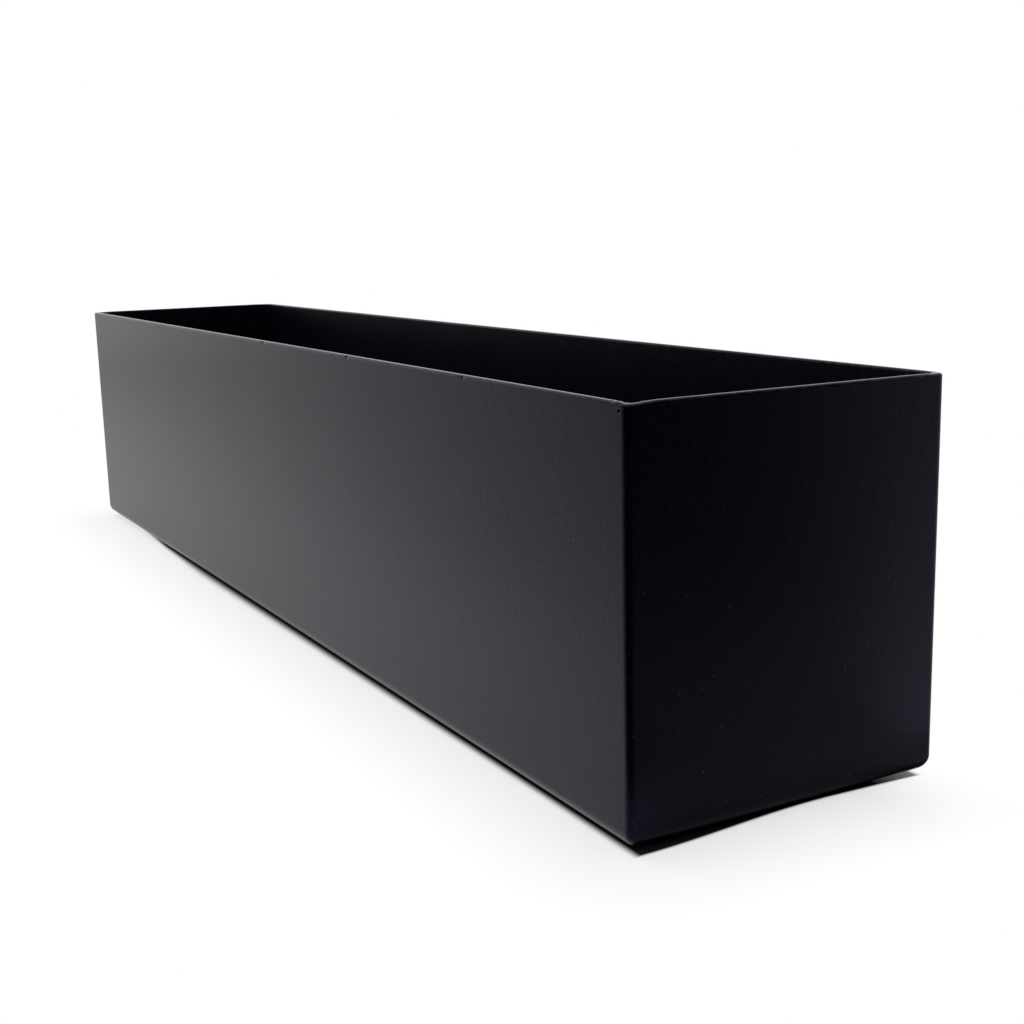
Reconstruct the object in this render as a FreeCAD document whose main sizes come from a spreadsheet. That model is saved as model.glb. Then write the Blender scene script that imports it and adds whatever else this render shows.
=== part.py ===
import FreeCAD, Part
import math
import os
import Sketcher

# Trough planter: a folded steel channel, two folded end caps, the welds that join them,
# rubber foot pads under the base and rubber plugs in the drain holes.
# Frame: X along the trough, Y across it with the front wall at -Y, Z up, origin on the floor
# under the middle of the trough. Lengths are in millimetres.

# Driving dimensions
SIZES = {
    # Overall form, measured on the outside of the sheet
    "trough_length": 660.0,
    "trough_width": 127.0,
    "wall_height": 140.0,
    "sheet_thickness": 2.2,
    "bend_radius": 6.0,
    "corner_radius": 2.3,
    # Corner welds: the gap that they bridge between two walls
    "weld_root_gap": 1.2,
    # Flange of each end cap, and the seam round it in the base
    "flange_length": 15.0,
    "seam_width": 1.6,
    "seam_crown": 0.6,
    # Drain holes and their plugs
    "drain_hole_diameter": 16.0,
    "drain_pitch": 200.0,
    "plug_clearance": 0.05,
    "plug_head_diameter": 23.0,
    "plug_head_thickness": 2.5,
    "plug_head_edge": 0.9,
    "plug_tail_length": 1.2,
    "plug_tail_edge": 0.6,
    # Foot pads, placed by their centres
    "pad_diameter": 18.0,
    "pad_thickness": 2.0,
    "pad_edge": 0.5,
    "pad_end_inset": 45.0,
    "pad_side_inset": 22.0,
    # How far cuts run past what they cut
    "cut_overrun": 1.0,
}

doc = FreeCAD.newDocument("trough_planter")
sheet = doc.addObject("Spreadsheet::Sheet", "Sizes")
for row, (name, value) in enumerate(SIZES.items(), start=1):
    sheet.set(f"A{row}", name)
    sheet.set(f"B{row}", str(value))
    sheet.setAlias(f"B{row}", name)
doc.recompute()


class Dim:
    """A length with its value and its formula in the sheet's cells."""

    def __init__(self, value, formula):
        self.value = value
        self.formula = formula

    def __add__(self, other):
        return Dim(self.value + other.value, f"{self.formula} + {other.formula}")

    def __sub__(self, other):
        return Dim(self.value - other.value, f"{self.formula} - ({other.formula})")

    def __neg__(self):
        return Dim(-self.value, f"-({self.formula})")

    def __mul__(self, factor):
        return Dim(self.value * factor, f"({self.formula}) * {factor}")

    def __truediv__(self, divisor):
        return Dim(self.value / divisor, f"({self.formula}) / {divisor}")


def cell(name):
    return Dim(float(sheet.get(name)), f"Sizes.{name}")


ZERO = Dim(0.0, "0")

# Places on the trough that several pieces share
half_length = cell("trough_length") / 2
half_width = cell("trough_width") / 2
thickness = cell("sheet_thickness")
bend = cell("bend_radius")
inner_bend = bend - thickness
overrun = cell("cut_overrun")
base_bottom = cell("pad_thickness")
base_top = base_bottom + thickness
bend_top = base_bottom + bend
rim = base_bottom + cell("wall_height")
weld_reach = thickness + cell("weld_root_gap")
wall_end = half_length - weld_reach
cap_edge = half_width - weld_reach
bend_end = half_length - bend
bend_side = half_width - bend
notch_end = bend_end - cell("flange_length")
flange_end = notch_end + cell("seam_width")
flange_side = bend_side - cell("seam_width")
hole_radius = cell("drain_hole_diameter") / 2
DRAIN_STEPS = {"left": -1, "middle": 0, "right": 1}
ENDS = {"left": -1, "right": 1}
SIDES = {"front": -1, "rear": 1}
QUARTER_TURN = 90.0
HALF_TURN = 180.0
FULL_TURN = 360.0
ALONG_Z = FreeCAD.Vector(0, 0, 1)


def new_body(label):
    body = doc.addObject("PartDesign::Body", label)
    body.Label = label
    return body


def origin_feature(body, role):
    for feature in body.Origin.OriginFeatures:
        if feature.Role == role:
            return feature
    raise ValueError(role)


def new_sketch(body, name, plane):
    sketch = body.newObject("Sketcher::SketchObject", name)
    sketch.AttachmentSupport = [(origin_feature(body, plane), "")]
    sketch.MapMode = "FlatFace"
    return sketch


def fix(sketch, kind, places, dim):
    """Add a driving constraint and bind it to the sheet."""
    index = sketch.addConstraint(Sketcher.Constraint(kind, *places, dim.value))
    sketch.setExpression(f"Constraints[{index}]", dim.formula)


def vector(point):
    return FreeCAD.Vector(point[0].value, point[1].value, 0)


def add_arc(sketch, start, end, centre):
    """Add the shorter arc from start to end; return its index and its two end numbers in that order."""
    middle = vector(centre)
    first = vector(start) - middle
    last = vector(end) - middle
    angles = [math.atan2(spoke.y, spoke.x) for spoke in (first, last)]
    ends = (1, 2)
    if first.cross(last).z < 0:
        angles.reverse()
        ends = (2, 1)
    circle = Part.Circle(middle, ALONG_Z, first.Length)
    return sketch.addGeometry(Part.ArcOfCircle(circle, *angles)), ends


def closed_outline(sketch, corners, arcs=None):
    """Draw an outline; arcs holds the centre and radius of the arc from each corner that starts one."""
    arcs = arcs or {}
    edges = []
    for number, start in enumerate(corners):
        end = corners[(number + 1) % len(corners)]
        if number in arcs:
            edges.append(add_arc(sketch, start, end, arcs[number][0]))
        else:
            line = Part.LineSegment(vector(start), vector(end))
            edges.append((sketch.addGeometry(line), (1, 2)))
    for number, (edge, ends) in enumerate(edges):
        before, before_ends = edges[number - 1]
        sketch.addConstraint(Sketcher.Constraint("Coincident", before, before_ends[1], edge, ends[0]))
        across, up = corners[number]
        fix(sketch, "DistanceX", (edge, ends[0]), across)
        fix(sketch, "DistanceY", (edge, ends[0]), up)
    for number, (centre, radius) in arcs.items():
        fix(sketch, "Radius", (edges[number][0],), radius)


def rectangle(sketch, low_x, high_x, low_y, high_y):
    closed_outline(sketch, [(low_x, low_y), (high_x, low_y), (high_x, high_y), (low_x, high_y)])


def circle_at(sketch, across, up, radius):
    edge = sketch.addGeometry(Part.Circle(vector((across, up)), ALONG_Z, radius.value))
    fix(sketch, "DistanceX", (edge, 3), across)
    fix(sketch, "DistanceY", (edge, 3), up)
    fix(sketch, "Radius", (edge,), radius)


def pad(body, sketch, length, name, symmetric=True):
    feature = body.newObject("PartDesign::Pad", name)
    feature.Profile = sketch
    feature.SideType = "Symmetric" if symmetric else "One side"
    feature.setExpression("Length", length.formula)
    doc.recompute()
    return feature


def cut_through(body, sketch, name):
    """Cut the sketch through the whole body, both ways, and make sure that it removed something."""
    volume = body.Shape.Volume
    feature = body.newObject("PartDesign::Pocket", name)
    feature.Profile = sketch
    feature.Type = "ThroughAll"
    feature.SideType = "Symmetric"
    doc.recompute()
    if body.Shape.Volume >= volume:
        raise RuntimeError(f"{body.Label}: {name} cut nothing")


def turned_body(label, outline, arcs=None):
    """Turn an outline of radii and levels about the Z axis."""
    body = new_body(label)
    sketch = new_sketch(body, f"{label}_profile", "XZ_Plane")
    closed_outline(sketch, outline, arcs)
    feature = body.newObject("PartDesign::Revolution", f"{label}_turned")
    feature.Profile = sketch
    feature.ReferenceAxis = (origin_feature(body, "Z_Axis"), [""])
    feature.Angle = FULL_TURN
    doc.recompute()
    return body


def place(item, across, along):
    """Set an item down in plan, bound to the sheet."""
    item.setExpression(".Placement.Base.x", across.formula)
    item.setExpression(".Placement.Base.y", along.formula)


# Channel: front wall, base and rear wall
def make_channel():
    body = new_body("trough_channel")
    section = new_sketch(body, "channel_section", "YZ_Plane")
    inner_side = half_width - thickness
    closed_outline(
        section,
        [
            (-half_width, rim),
            (-half_width, bend_top),
            (-bend_side, base_bottom),
            (bend_side, base_bottom),
            (half_width, bend_top),
            (half_width, rim),
            (inner_side, rim),
            (inner_side, bend_top),
            (bend_side, base_top),
            (-bend_side, base_top),
            (-inner_side, bend_top),
            (-inner_side, rim),
        ],
        {
            1: ((-bend_side, bend_top), bend),
            3: ((bend_side, bend_top), bend),
            7: ((bend_side, bend_top), inner_bend),
            9: ((-bend_side, bend_top), inner_bend),
        },
    )
    pad(body, section, wall_end * 2, "channel_folded")

    # The bends stop short of the corners, where the welds close the trough
    relief = new_sketch(body, "corner_relief", "XZ_Plane")
    for low, high in ((bend_end, half_length), (-half_length, -bend_end)):
        rectangle(relief, low, high, base_bottom - overrun, bend_top)
    cut_through(body, relief, "corners_relieved")

    # The base is notched at each end to take the cap's flange
    notch = new_sketch(body, "flange_notch", "XY_Plane")
    for low, high in ((notch_end, half_length), (-half_length, -notch_end)):
        rectangle(notch, low, high, -bend_side, bend_side)
    cut_through(body, notch, "flanges_notched")

    holes = new_sketch(body, "drain_holes", "XY_Plane")
    for step in DRAIN_STEPS.values():
        circle_at(holes, cell("drain_pitch") * step, ZERO, hole_radius)
    cut_through(body, holes, "drains_cut")
    return body


# End cap: end wall, bottom bend and flange, drawn at +X and turned round for -X
def make_end_cap(end):
    label = f"{end}_end_cap"
    body = new_body(label)
    section = new_sketch(body, f"{label}_section", "XZ_Plane")
    inner_face = half_length - thickness
    closed_outline(
        section,
        [
            (half_length, rim),
            (half_length, bend_top),
            (bend_end, base_bottom),
            (flange_end, base_bottom),
            (flange_end, base_top),
            (bend_end, base_top),
            (inner_face, bend_top),
            (inner_face, rim),
        ],
        {1: ((bend_end, bend_top), bend), 5: ((bend_end, bend_top), inner_bend)},
    )
    pad(body, section, cap_edge * 2, f"{label}_folded")

    # The bend and the flange are narrower than the wall
    relief = new_sketch(body, f"{label}_relief", "YZ_Plane")
    for low, high in ((bend_side, half_width), (-half_width, -bend_side)):
        rectangle(relief, low, high, base_bottom - overrun, bend_top)
    cut_through(body, relief, f"{label}_relieved")

    sides = new_sketch(body, f"{label}_flange_sides", "XY_Plane")
    for low, high in ((flange_side, half_width), (-half_width, -flange_side)):
        rectangle(sides, flange_end - overrun, bend_end, low, high)
    cut_through(body, sides, f"{label}_flange_trimmed")
    if ENDS[end] < 0:
        body.Placement.Rotation = FreeCAD.Rotation(ALONG_Z, HALF_TURN)
    return body


# Corner weld: drawn with its outer corner at the origin and the trough on its +X and +Y sides
def box_piece(name, lows, sizes):
    """A plain block from its lowest corner and its three sizes, bound to the sheet."""
    item = doc.addObject("Part::Box", name)
    place(item, lows[0], lows[1])
    item.setExpression(".Placement.Base.z", lows[2].formula)
    for side, size in zip(("Length", "Width", "Height"), sizes):
        item.setExpression(side, size.formula)
    return item


def ground_corner(label):
    """The outside of the corner: a block with its upright edge and its two bottom edges rounded."""
    corner = (ZERO, ZERO, base_bottom)
    block = box_piece(f"{label}_block", corner, (bend * 2, bend * 2, rim - base_bottom))
    doc.recompute()
    tip = FreeCAD.Vector(0, 0, base_bottom.value)
    rounded = []
    for number, edge in enumerate(block.Shape.Edges, start=1):
        first, last = (vertex.Point for vertex in edge.Vertexes)
        if any(end.isEqual(tip, FreeCAD.Base.Precision.confusion()) for end in (first, last)):
            run = last - first
            upright = abs(run.z) > abs(run.x) + abs(run.y)
            radius = cell("corner_radius").value if upright else bend.value
            rounded.append((number, radius, radius))
    ground = doc.addObject("Part::Fillet", f"{label}_ground")
    ground.Base = block
    ground.Edges = rounded
    return ground


def corner_hollow(label):
    """The inside of the corner: a concave bead up the walls that ends in a round pocket at the bottom."""
    pocket = doc.addObject("Part::Sphere", f"{label}_pocket")
    bead = doc.addObject("Part::Cylinder", f"{label}_bead")
    bead.setExpression("Height", (rim - bend_top + overrun).formula)
    for item in (pocket, bead):
        item.setExpression("Radius", inner_bend.formula)
        place(item, bend, bend)
        item.setExpression(".Placement.Base.z", bend_top.formula)
    return [pocket, bead]


def wall_edges(label):
    """Room for the edges of the two walls, which stop a root gap apart."""
    run = bend - weld_reach + overrun
    depth = thickness + overrun
    height = rim - bend_top + overrun
    along = box_piece(f"{label}_wall_edge", (weld_reach, -overrun, bend_top), (run, depth, height))
    across = box_piece(f"{label}_cap_edge", (-overrun, weld_reach, bend_top), (depth, run, height))
    return [along, across]


def make_corner_weld(side, end):
    label = f"corner_weld_{side}_{end}"
    zone = box_piece(f"{label}_zone", (ZERO, ZERO, base_bottom), (bend, bend, rim - base_bottom))
    metal = doc.addObject("Part::Common", f"{label}_metal")
    metal.Base = ground_corner(label)
    metal.Tool = zone
    taken = doc.addObject("Part::MultiFuse", f"{label}_taken")
    taken.Shapes = corner_hollow(label) + wall_edges(label)
    weld = doc.addObject("Part::Cut", label)
    weld.Label = label
    weld.Base = metal
    weld.Tool = taken
    turns = {("front", "left"): 0, ("front", "right"): 1, ("rear", "right"): 2, ("rear", "left"): 3}
    weld.Placement.Rotation = FreeCAD.Rotation(ALONG_Z, QUARTER_TURN * turns[side, end])
    place(weld, half_length * ENDS[end], half_width * SIDES[side])
    return weld


# Base weld: a bead round the three edges of a flange, flush below and crowned above
def make_base_weld(end):
    label = f"base_weld_{end}"
    body = new_body(label)
    plan = new_sketch(body, f"{label}_plan", "XY_Plane")
    closed_outline(
        plan,
        [
            (bend_end, bend_side),
            (notch_end, bend_side),
            (notch_end, -bend_side),
            (bend_end, -bend_side),
            (bend_end, -flange_side),
            (flange_end, -flange_side),
            (flange_end, flange_side),
            (bend_end, flange_side),
        ],
    )
    plan.setExpression(".AttachmentOffset.Base.z", base_bottom.formula)
    pad(body, plan, thickness + cell("seam_crown"), f"{label}_run", symmetric=False)
    if ENDS[end] < 0:
        body.Placement.Rotation = FreeCAD.Rotation(ALONG_Z, HALF_TURN)
    return body


# Foot pad: a low rubber disc stuck under the base
def make_foot_pad(side, end):
    radius = cell("pad_diameter") / 2
    edge = cell("pad_edge")
    body = turned_body(
        f"foot_pad_{side}_{end}",
        [(ZERO, ZERO), (radius - edge, ZERO), (radius, edge), (radius, base_bottom), (ZERO, base_bottom)],
    )
    across = (half_length - cell("pad_end_inset")) * ENDS[end]
    along = (half_width - cell("pad_side_inset")) * SIDES[side]
    place(body, across, along)
    return body


# Drain plug: a flanged rubber stopper, pushed in from inside the trough
def make_drain_plug(where):
    stem = hole_radius - cell("plug_clearance")
    head = cell("plug_head_diameter") / 2
    head_edge = cell("plug_head_edge")
    head_top = base_top + cell("plug_head_thickness")
    tail = base_bottom - cell("plug_tail_length")
    tail_edge = cell("plug_tail_edge")
    body = turned_body(
        f"drain_plug_{where}",
        [
            (ZERO, tail),
            (stem - tail_edge, tail),
            (stem, tail + tail_edge),
            (stem, base_top),
            (head, base_top),
            (head, head_top - head_edge),
            (head - head_edge, head_top),
            (ZERO, head_top),
        ],
        {5: ((head - head_edge, head_top - head_edge), head_edge)},
    )
    place(body, cell("drain_pitch") * DRAIN_STEPS[where], ZERO)
    return body


pieces = [make_channel()]
pieces += [make_end_cap(end) for end in ENDS]
pieces += [make_corner_weld(side, end) for side in SIDES for end in ENDS]
pieces += [make_base_weld(end) for end in ENDS]
pieces += [make_foot_pad(side, end) for side in SIDES for end in ENDS]
pieces += [make_drain_plug(where) for where in DRAIN_STEPS]
doc.recompute()

for item in doc.Objects:
    if "Invalid" in item.State or "Error" in item.State:
        raise RuntimeError(f"{item.Label} failed: {item.State}")
for piece in pieces:
    if piece.Shape.isNull() or not piece.Shape.isValid() or len(piece.Shape.Solids) != 1:
        raise RuntimeError(f"{piece.Label} is not one valid solid")

os.makedirs("parts", exist_ok=True)
for piece in pieces:
    piece.Shape.exportStep(os.path.join("parts", f"{piece.Label}.step"))
    print(f"{piece.Label}: {piece.Shape.Volume:.1f} mm3")
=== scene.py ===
import math
import random

import bmesh
import bpy
from mathutils import Matrix, Vector


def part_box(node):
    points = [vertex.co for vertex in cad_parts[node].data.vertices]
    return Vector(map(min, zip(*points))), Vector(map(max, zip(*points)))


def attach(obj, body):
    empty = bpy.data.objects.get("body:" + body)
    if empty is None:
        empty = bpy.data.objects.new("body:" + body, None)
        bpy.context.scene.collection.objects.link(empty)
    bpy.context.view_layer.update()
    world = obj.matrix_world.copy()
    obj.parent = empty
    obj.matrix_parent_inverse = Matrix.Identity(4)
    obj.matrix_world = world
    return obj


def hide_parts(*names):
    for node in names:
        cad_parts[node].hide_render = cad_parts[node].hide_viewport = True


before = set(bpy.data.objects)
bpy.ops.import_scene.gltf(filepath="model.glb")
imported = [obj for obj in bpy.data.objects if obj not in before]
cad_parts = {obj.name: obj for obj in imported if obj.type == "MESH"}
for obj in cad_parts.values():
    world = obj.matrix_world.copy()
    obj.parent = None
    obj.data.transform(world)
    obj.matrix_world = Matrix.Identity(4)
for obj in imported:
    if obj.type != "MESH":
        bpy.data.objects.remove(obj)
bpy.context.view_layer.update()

# Trough planter in black powder-coated steel, standing on a pale floor.
# X runs along the trough, Y across it with the front wall at -Y, Z up. Lengths are in metres.

# Sizes of the trough, read from the frame
channel_low, channel_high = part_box("trough_channel")
cap_low, cap_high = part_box("right_end_cap")
weld_low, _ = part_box("corner_weld_rear_right")
seam_low, seam_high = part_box("base_weld_right")
half_length = cap_high.x
half_width = channel_high.y
rim = channel_high.z
base_bottom = channel_low.z
wall_end = channel_high.x
cap_edge = cap_high.y
bend_end = weld_low.x
bend_side = weld_low.y
bend = half_length - bend_end
bend_top = base_bottom + bend
weld_reach = half_length - wall_end
notch_end = seam_low.x
flange_end = cap_low.x
seam_width = flange_end - notch_end
flange_side = bend_side - seam_width
seam_top = seam_high.z

# Sizes that no box of the frame gives
MM = 0.001
SHEET = 2.2 * MM
CORNER_RADIUS = 2.3 * MM
RIM_EDGE = 0.8 * MM
DRAIN_RADIUS = 8.0 * MM
inner_bend = bend - SHEET
base_top = base_bottom + SHEET

# How finely the sheet is drawn
COLUMN_STEP = 12 * MM
ROW_STEP = 12 * MM
EDGE_STEPS = 5
BEND_STEPS = 10
CORNER_STEPS = 8

SIDES = {"front": -1, "rear": 1}
ENDS = {"left": -1, "right": 1}
DRAINS = ("left", "middle", "right")
QUARTER = math.pi / 2


def spread(low, high, count):
    """Places from low to high, in count even steps."""
    return [low + (high - low) * n / count for n in range(count + 1)]


def smooth(value, low, high):
    """Rise smoothly from 0 at low to 1 at high."""
    share = min(max((value - low) / (high - low), 0), 1)
    return share * share * (3 - 2 * share)


# Nicks in the outer edge of the rim
NICK_SEED = 11
NICKS_PER_LONG_RIM = 13
NICKS_PER_SHORT_RIM = 5
NICK_RADIUS = (0.45 * MM, 0.95 * MM)
NICK_DEPTH = (0.10 * MM, 0.26 * MM)
NICK_STEP = 0.25 * MM

# Rim dressed by hand at the corners, most of all at the front right one
LUMP_REACH = 18 * MM
LUMP_DEPTH = 0.18 * MM
LUMP_PITCHES = (3.1 * MM, 5.3 * MM)
LUMP_ZONE = 3.0 * MM
LUMP_STEP = 0.5 * MM
LUMP_ROWS = 7
CORNER_DIP = 0.58 * MM
CORNER_DIP_REACH = (5 * MM, 13 * MM)
INSIDE_DIP = 0.42 * MM
INSIDE_DIP_RISE = (1.2 * MM, 2.7 * MM)
INSIDE_DIP_FALL = (3.0 * MM, 6.0 * MM)
FINE_CORNER_SHARE = 0.4

# Gas pore in the front wall, beside the right weld
PORE_FROM_CORNER = 3.7 * MM
PORE_BELOW_RIM = 2.7 * MM
PORE_RADIUS = 0.6 * MM
PORE_FLOOR = PORE_RADIUS / 2
PORE_DEPTH = 0.9 * MM
PORE_ZONE = PORE_RADIUS * 1.5
PORE_STEP = 0.16 * MM
LEAST_GAP = PORE_STEP / 2

# Dents below the front rim, each by its place along the wall and its half length
DENTS = ((16 * MM, 3.5 * MM), (120 * MM, 2.2 * MM), (226 * MM, 1.6 * MM))
DENT_BELOW_RIM = 0.8 * MM
DENT_HALF_HEIGHT = 0.8 * MM
DENT_DEPTH = 0.45 * MM
DENT_STEP = 0.4 * MM

# Long walls that lean in a little and ripple
BOW_DEPTH = 0.3 * MM
RIPPLE_DEPTH = 0.05 * MM
RIPPLES_LONG = 7
RIPPLES_HIGH = 2


def draw_nicks():
    """Nicks in the rim's outer edge: their centres, the ways they are cut, their radii and depths."""
    draw = random.Random(NICK_SEED)
    found = []

    def add(place, inward):
        way = (inward + Vector((0, 0, -1))).normalized()
        found.append((place, way, draw.uniform(*NICK_RADIUS), draw.uniform(*NICK_DEPTH)))

    for side in SIDES.values():
        for _ in range(NICKS_PER_LONG_RIM):
            x = draw.uniform(-bend_end, bend_end)
            add(Vector((x, side * half_width, rim)), Vector((0, -side, 0)))
    for end in ENDS.values():
        for _ in range(NICKS_PER_SHORT_RIM):
            y = draw.uniform(-bend_side, bend_side)
            add(Vector((end * half_length, y, rim)), Vector((-end, 0, 0)))
    return found


nicks = draw_nicks()
pore = Vector((half_length - PORE_FROM_CORNER, -half_width, rim - PORE_BELOW_RIM))


def rim_dip(from_end, from_side):
    """How far the rim dips below true, for a place in plan measured from the nearest end and side."""
    along = max(from_end, from_side)
    fade = 1 - smooth(along, 0, LUMP_REACH)
    waves = [math.sin(2 * math.pi * along / pitch + from_side / LUMP_ZONE) for pitch in LUMP_PITCHES]
    lumps = LUMP_DEPTH * fade * (len(waves) + sum(waves)) / (2 * len(waves))
    from_corner = math.hypot(from_end / CORNER_DIP_REACH[0], from_side / CORNER_DIP_REACH[1])
    inside = smooth(min(from_end, from_side), *INSIDE_DIP_RISE) * (1 - smooth(along, *INSIDE_DIP_FALL))
    return lumps + CORNER_DIP * (1 - smooth(from_corner, 0, 1)) + INSIDE_DIP * inside


def wall_bow(x, z):
    """How far a long wall leans in, most at the middle of its rim."""
    along = x / wall_end
    up = (z - bend_top) / (rim - bend_top)
    held = max(1 - along * along, 0) * smooth(up, 0, 1)
    ripple = math.sin(RIPPLES_LONG * math.pi * along) * math.sin(RIPPLES_HIGH * math.pi * up)
    return held * (BOW_DEPTH + RIPPLE_DEPTH * ripple)


def dent_depth(x, z):
    """How far the front wall is knocked in just below its rim."""
    down = (rim - DENT_BELOW_RIM - z) / DENT_HALF_HEIGHT
    shares = [smooth(math.hypot((x - place) / half_long, down), 0, 1) for place, half_long in DENTS]
    return DENT_DEPTH * (1 - min(shares))


def worn(point):
    """Where a point of the true trough lies on the real one. It never moves outwards."""
    moved = point.copy()
    from_end = half_length - abs(point.x)
    from_side = half_width - abs(point.y)
    if from_side < bend and from_end > bend:
        moved.y -= math.copysign(wall_bow(point.x, point.z), point.y)
    if point.y < RIM_EDGE - half_width:
        moved.y += dent_depth(point.x, point.z)
    front_right = point.y < 0 < point.x
    dip = rim_dip(from_end, from_side) * (1 if front_right else FINE_CORNER_SHARE)
    moved.z -= dip * smooth(point.z, rim - LUMP_ZONE, rim)
    for place, way, radius, depth in nicks:
        if abs(point.x - place.x) < radius and abs(point.y - place.y) < radius:
            moved += way * depth * (1 - smooth((point - place).length, 0, radius))
    moved.y += PORE_DEPTH * (1 - smooth((point - pore).length, PORE_FLOOR, PORE_RADIUS))
    return moved


def stations(low, high, step, marks, clusters):
    """Places from low to high: an even spacing, the marks, and a closer spacing round each cluster."""
    found = set(marks) | {low, high}
    found |= set(spread(low, high, round((high - low) / step)))
    for centre, reach, close in clusters:
        found |= set(spread(centre - reach, centre + reach, round(2 * reach / close)))
    kept = []
    for place in sorted(p for p in found if low <= p <= high):
        if kept and place - kept[-1] < LEAST_GAP:
            if place in marks or place == high:
                kept[-1] = place
            continue
        kept.append(place)
    return kept


def lump_clusters(high, signs):
    """Clusters for the stations of a rim, next to each of its corners."""
    return [(sign * (high - LUMP_REACH / 2), LUMP_REACH / 2, LUMP_STEP) for sign in signs]


# Sections of the sheet: rows of an outer and an inner point, each as inset from the outer face and level
def rim_rows():
    rows = []
    for angle in spread(QUARTER, 0, EDGE_STEPS):
        inset = RIM_EDGE * (1 - math.cos(angle))
        level = rim - RIM_EDGE * (1 - math.sin(angle))
        rows.append(((inset, level), (SHEET - inset, level)))
    return rows


def wall_levels():
    """Levels below the rounded rim, close together next to it and round the pore."""
    below = [rim - RIM_EDGE - LUMP_STEP * n for n in range(1, LUMP_ROWS + 1)]
    return stations(bend_top, rim - RIM_EDGE, ROW_STEP, below, [(pore.z, PORE_ZONE, PORE_STEP)])[::-1]


def wall_rows():
    return [((0, level), (SHEET, level)) for level in wall_levels()[1:]]


def bend_rows():
    rows = []
    for angle in spread(0, QUARTER, BEND_STEPS)[1:]:
        outer = (bend - bend * math.cos(angle), bend_top - bend * math.sin(angle))
        inner = (bend - inner_bend * math.cos(angle), bend_top - inner_bend * math.sin(angle))
        rows.append((outer, inner))
    return rows


# The section that channel and caps share, and the rows where its bend and its flat part start
folded = rim_rows() + wall_rows() + bend_rows()
bend_start = len(rim_rows()) + len(wall_rows()) - 1
flat_start = bend_start + BEND_STEPS


def section_reach(row, wall, fold, flat):
    """How far the sheet reaches to each side at a row of the section: in its wall, bend or flat part."""
    return wall if row < bend_start else fold if row < flat_start else flat


def cells_within(columns, reaches):
    """The cells of a grid, by row and column, whose middle lies within the reach of their row."""
    middles = [(first + last) / 2 for first, last in zip(columns, columns[1:])]
    return {
        (row, column)
        for row, reach in enumerate(reaches)
        for column, middle in enumerate(middles)
        if abs(middle) < reach
    }


# Meshes and pieces
SHARP_ANGLE = math.radians(40)


def new_object(name, data):
    made = bpy.data.objects.new(name, data)
    bpy.context.scene.collection.objects.link(made)
    return made


def new_piece(name, mesh, material, body, node):
    """Turn a built mesh into a piece that stands for a node and rides on a body."""
    bmesh.ops.recalc_face_normals(mesh, faces=mesh.faces)
    data = bpy.data.meshes.new(name)
    mesh.to_mesh(data)
    mesh.free()
    data.shade_smooth()
    data.set_sharp_from_angle(angle=SHARP_ANGLE)
    data.materials.append(material)
    piece = new_object(name, data)
    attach(piece, body)
    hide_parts(node)


def join_rows(mesh, first, last):
    """Faces between two rows of as many vertices."""
    for n in range(len(first) - 1):
        mesh.faces.new([first[n], first[n + 1], last[n + 1], last[n]])


def join_rings(mesh, first, last):
    """Faces between two closed rings of as many vertices."""
    for n in range(len(first)):
        mesh.faces.new([first[n - 1], first[n], last[n], last[n - 1]])


class SheetMesh:
    """A closed solid from two grids of points, the two skins of a sheet."""

    def __init__(self, outer, inner):
        self.grids = (outer, inner)
        self.mesh = bmesh.new()
        self.made = ({}, {})

    def vertex(self, skin, row, column):
        made = self.made[skin]
        if (row, column) not in made:
            made[row, column] = self.mesh.verts.new(worn(self.grids[skin][row][column]))
        return made[row, column]

    def fill(self, filled, bridged=()):
        """Cover the filled cells on both skins, and close each edge that no other cell borders."""
        for row, column in filled:
            corners = [(row, column), (row + 1, column), (row + 1, column + 1), (row, column + 1)]
            self.mesh.faces.new([self.vertex(0, *corner) for corner in corners])
            self.mesh.faces.new([self.vertex(1, *corner) for corner in reversed(corners)])
            beside = [(row, column - 1), (row + 1, column), (row, column + 1), (row - 1, column)]
            for number, cell in enumerate(beside):
                if cell not in filled and cell not in bridged:
                    self.close(corners[number], corners[(number + 1) % len(corners)])

    def close(self, first, last):
        """Join the two skins along the edge between two corners."""
        ring = [(0, last), (0, first), (1, first), (1, last)]
        self.mesh.faces.new([self.vertex(skin, *corner) for skin, corner in ring])

    def drill(self, rows, columns, centre, radius, rings):
        """Join the edge of a block of cells to a round hole through both skins."""
        low_row, high_row = rows
        low_column, high_column = columns
        edge = [(row, low_column) for row in range(low_row, high_row)]
        edge += [(high_row, column) for column in range(low_column, high_column)]
        edge += [(row, high_column) for row in range(high_row, low_row, -1)]
        edge += [(low_row, column) for column in range(high_column, low_column, -1)]
        mouths = []
        for skin in (0, 1):
            ring = [self.vertex(skin, *corner) for corner in edge]
            starts = [vertex.co.copy() for vertex in ring]
            for share in spread(0, 1, rings)[1:]:
                inner_ring = []
                for start in starts:
                    spoke = Vector((start.x - centre.x, start.y - centre.y, 0)).normalized() * radius
                    end = Vector((centre.x, centre.y, start.z)) + spoke
                    inner_ring.append(self.mesh.verts.new(start.lerp(end, share)))
                join_rings(self.mesh, ring, inner_ring)
                ring = inner_ring
            mouths.append(ring)
        join_rings(self.mesh, *mouths)


# Channel: front wall, base with its drain holes, and rear wall
DRAIN_BLOCK = 14 * MM
DRAIN_EDGES = (-DRAIN_BLOCK, DRAIN_BLOCK)
DRAIN_RINGS = 4
DRAIN_STEP = 2 * MM


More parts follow.
